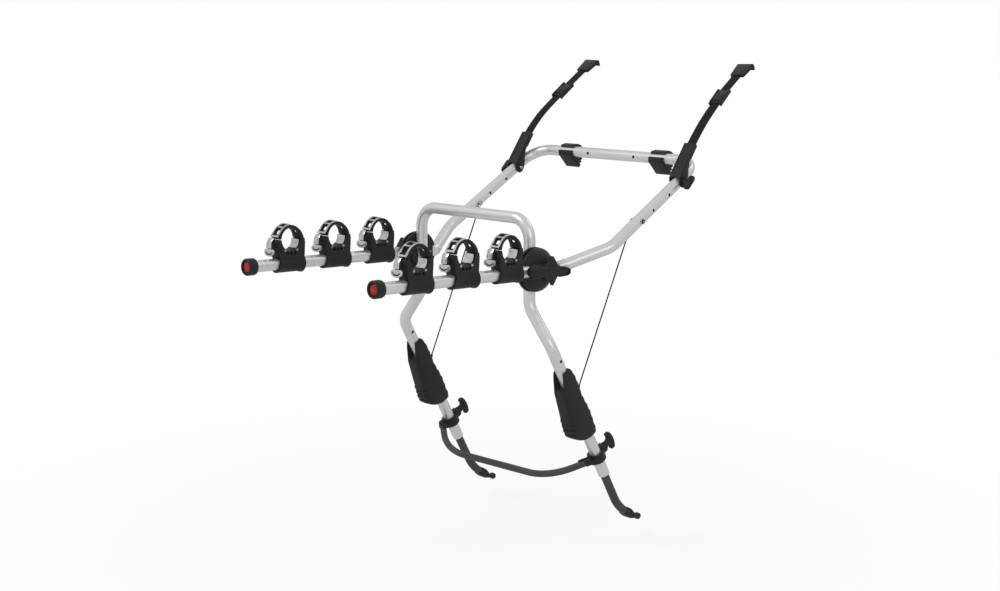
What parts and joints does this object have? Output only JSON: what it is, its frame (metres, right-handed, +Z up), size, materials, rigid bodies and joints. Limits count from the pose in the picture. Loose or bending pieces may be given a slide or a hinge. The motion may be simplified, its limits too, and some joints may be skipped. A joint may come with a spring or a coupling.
{
  "type": "trunk mounted bike rack",
  "caption": "Bent tube rack for a car's tailgate, with folding arms, strapped frame cradles, stay cables and hooked straps.",
  "frame": {"origin": "middle of the axis about which the arms and the upper frame fold", "axes": "+Z up, +Y towards the car, +X to the right seen from behind the car"},
  "size_m": [0.5742, 1.1185, 1.0067],
  "materials": {
    "frame_tube": "satin silver anodised",
    "plain_steel": "zinc plated",
    "coated_steel": "black dipped",
    "moulded_black": "fine grained",
    "black_rubber": "matt",
    "hose_rubber": "matt",
    "band_rubber": "satin",
    "red_lens": "prismatic",
    "bright_buckle": "polished",
    "webbing": "woven polyester",
    "cable_jacket": "smooth jacket"
  },
  "bodies": {
    "lower_frame": {"hoop_frame": "frame_tube", "hub_saddles": "moulded_black", "hub_bolts": "plain_steel", "leg_clamps": "moulded_black", "cross_bar": "hose_rubber", "boot_left": "black_rubber", "boot_right": "black_rubber", "stay_cable_left": "cable_jacket", "stay_cable_right": "cable_jacket"},
    "upper_frame": {"upper_frame": "frame_tube", "rail_lug_left": "frame_tube", "rail_lug_right": "frame_tube", "cable_anchors": "plain_steel"},
    "arm_left": {"arm_tube_left": "frame_tube", "hub_cover_left": "moulded_black", "end_cap_left": "moulded_black", "reflector_left": "red_lens", "cradle_left_1": "moulded_black", "cradle_left_2": "moulded_black", "cradle_left_3": "moulded_black"},
    "hub_lever_left": {"hub_lever_left": "moulded_black"},
    "band_left_1": {"band_left_1": "band_rubber"},
    "buckle_left_1": {"buckle_left_1": "bright_buckle"},
    "band_left_2": {"band_left_2": "band_rubber"},
    "buckle_left_2": {"buckle_left_2": "bright_buckle"},
    "band_left_3": {"band_left_3": "band_rubber"},
    "buckle_left_3": {"buckle_left_3": "bright_buckle"},
    "clamp_knob_left": {"clamp_knob_left": "moulded_black"},
    "hook_left": {"tail_hook_left": "coated_steel", "hook_hose_left": "hose_rubber"},
    "rest_pad_left": {"rest_pad_left": "black_rubber"},
    "strap_left": {"strap_bracket_left": "moulded_black", "webbing_left": "webbing", "cam_buckle_left": "moulded_black", "top_hook_left": "coated_steel"},
    "bracket_knob_left": {"bracket_knob_left": "moulded_black"},
    "arm_right": {"arm_tube_right": "frame_tube", "hub_cover_right": "moulded_black", "end_cap_right": "moulded_black", "reflector_right": "red_lens", "cradle_right_1": "moulded_black", "cradle_right_2": "moulded_black", "cradle_right_3": "moulded_black"},
    "hub_lever_right": {"hub_lever_right": "moulded_black"},
    "band_right_1": {"band_right_1": "band_rubber"},
    "buckle_right_1": {"buckle_right_1": "bright_buckle"},
    "band_right_2": {"band_right_2": "band_rubber"},
    "buckle_right_2": {"buckle_right_2": "bright_buckle"},
    "band_right_3": {"band_right_3": "band_rubber"},
    "buckle_right_3": {"buckle_right_3": "bright_buckle"},
    "clamp_knob_right": {"clamp_knob_right": "moulded_black"},
    "hook_right": {"tail_hook_right": "coated_steel", "hook_hose_right": "hose_rubber"},
    "rest_pad_right": {"rest_pad_right": "black_rubber"},
    "strap_right": {"strap_bracket_right": "moulded_black", "webbing_right": "webbing", "cam_buckle_right": "moulded_black", "top_hook_right": "coated_steel"},
    "bracket_knob_right": {"bracket_knob_right": "moulded_black"}
  },
  "joints": [
    {"name": "upper_fold", "type": "hinge", "parent": "lower_frame", "child": "upper_frame", "pos_m": [0, 0, 0], "axis": [1, 0, 0], "range_deg": [-40, 0], "deforming": ["stay_cable_left", "stay_cable_right"]},
    {"name": "arm_left_fold", "type": "hinge", "parent": "lower_frame", "child": "arm_left", "pos_m": [-0.198, 0, 0], "axis": [1, 0, 0], "range_deg": [0, 60]},
    {"name": "hub_lever_left_turn", "type": "hinge", "parent": "lower_frame", "child": "hub_lever_left", "pos_m": [-0.218, 0, 0], "axis": [-1, 0, 0], "continuous": true},
    {"name": "band_left_1_open", "type": "hinge", "parent": "arm_left", "child": "band_left_1", "pos_m": [-0.198, -0.31888, 0.05949], "axis": [-1, 0, 0], "range_deg": [0, 100]},
    {"name": "buckle_left_1_lift", "type": "hinge", "parent": "arm_left", "child": "buckle_left_1", "pos_m": [-0.198, -0.38934, 0.06158], "axis": [-1, 0, 0], "range_deg": [0, 90]},
    {"name": "band_left_2_open", "type": "hinge", "parent": "arm_left", "child": "band_left_2", "pos_m": [-0.198, -0.19393, 0.05578], "axis": [-1, 0, 0], "range_deg": [0, 100]},
    {"name": "buckle_left_2_lift", "type": "hinge", "parent": "arm_left", "child": "buckle_left_2", "pos_m": [-0.198, -0.2644, 0.05787], "axis": [-1, 0, 0], "range_deg": [0, 90]},
    {"name": "band_left_3_open", "type": "hinge", "parent": "arm_left", "child": "band_left_3", "pos_m": [-0.198, -0.06899, 0.05207], "axis": [-1, 0, 0], "range_deg": [0, 100]},
    {"name": "buckle_left_3_lift", "type": "hinge", "parent": "arm_left", "child": "buckle_left_3", "pos_m": [-0.198, -0.13945, 0.05416], "axis": [-1, 0, 0], "range_deg": [0, 90]},
    {"name": "clamp_knob_left_turn", "type": "hinge", "parent": "lower_frame", "child": "clamp_knob_left", "pos_m": [-0.23, 0.14343, -0.41664], "axis": [0, 0.8729, 0.4879], "continuous": true},
    {"name": "hook_left_slide", "type": "slide", "parent": "lower_frame", "child": "hook_left", "axis": [0, 0.4879, -0.8729], "range_m": [-0.03, 0.02]},
    {"name": "rest_pad_left_tilt", "type": "hinge", "parent": "upper_frame", "child": "rest_pad_left", "pos_m": [-0.137, 0.456, 0.201], "axis": [1, 0, 0], "range_deg": [-15, 15]},
    {"name": "strap_left_swing", "type": "hinge", "parent": "upper_frame", "child": "strap_left", "pos_m": [-0.25, 0.385, 0.16123], "axis": [1, 0, 0], "range_deg": [-6, 25]},
    {"name": "bracket_knob_left_turn", "type": "hinge", "parent": "upper_frame", "child": "bracket_knob_left", "pos_m": [-0.268, 0.385, 0.16123], "axis": [-1, 0, 0], "continuous": true},
    {"name": "arm_right_fold", "type": "hinge", "parent": "lower_frame", "child": "arm_right", "pos_m": [0.198, 0, 0], "axis": [1, 0, 0], "range_deg": [0, 60]},
    {"name": "hub_lever_right_turn", "type": "hinge", "parent": "lower_frame", "child": "hub_lever_right", "pos_m": [0.218, 0, 0], "axis": [1, 0, 0], "continuous": true},
    {"name": "band_right_1_open", "type": "hinge", "parent": "arm_right", "child": "band_right_1", "pos_m": [0.198, -0.31888, 0.05949], "axis": [-1, 0, 0], "range_deg": [0, 100]},
    {"name": "buckle_right_1_lift", "type": "hinge", "parent": "arm_right", "child": "buckle_right_1", "pos_m": [0.198, -0.38934, 0.06158], "axis": [-1, 0, 0], "range_deg": [0, 90]},
    {"name": "band_right_2_open", "type": "hinge", "parent": "arm_right", "child": "band_right_2", "pos_m": [0.198, -0.19393, 0.05578], "axis": [-1, 0, 0], "range_deg": [0, 100]},
    {"name": "buckle_right_2_lift", "type": "hinge", "parent": "arm_right", "child": "buckle_right_2", "pos_m": [0.198, -0.2644, 0.05787], "axis": [-1, 0, 0], "range_deg": [0, 90]},
    {"name": "band_right_3_open", "type": "hinge", "parent": "arm_right", "child": "band_right_3", "pos_m": [0.198, -0.06899, 0.05207], "axis": [-1, 0, 0], "range_deg": [0, 100]},
    {"name": "buckle_right_3_lift", "type": "hinge", "parent": "arm_right", "child": "buckle_right_3", "pos_m": [0.198, -0.13945, 0.05416], "axis": [-1, 0, 0], "range_deg": [0, 90]},
    {"name": "clamp_knob_right_turn", "type": "hinge", "parent": "lower_frame", "child": "clamp_knob_right", "pos_m": [0.23, 0.14343, -0.41664], "axis": [0, 0.8729, 0.4879], "continuous": true},
    {"name": "hook_right_slide", "type": "slide", "parent": "lower_frame", "child": "hook_right", "axis": [0, 0.4879, -0.8729], "range_m": [-0.03, 0.02]},
    {"name": "rest_pad_right_tilt", "type": "hinge", "parent": "upper_frame", "child": "rest_pad_right", "pos_m": [0.137, 0.456, 0.201], "axis": [1, 0, 0], "range_deg": [-15, 15]},
    {"name": "strap_right_swing", "type": "hinge", "parent": "upper_frame", "child": "strap_right", "pos_m": [0.25, 0.385, 0.16123], "axis": [1, 0, 0], "range_deg": [-6, 25]},
    {"name": "bracket_knob_right_turn", "type": "hinge", "parent": "upper_frame", "child": "bracket_knob_right", "pos_m": [0.268, 0.385, 0.16123], "axis": [1, 0, 0], "continuous": true}
  ]
}
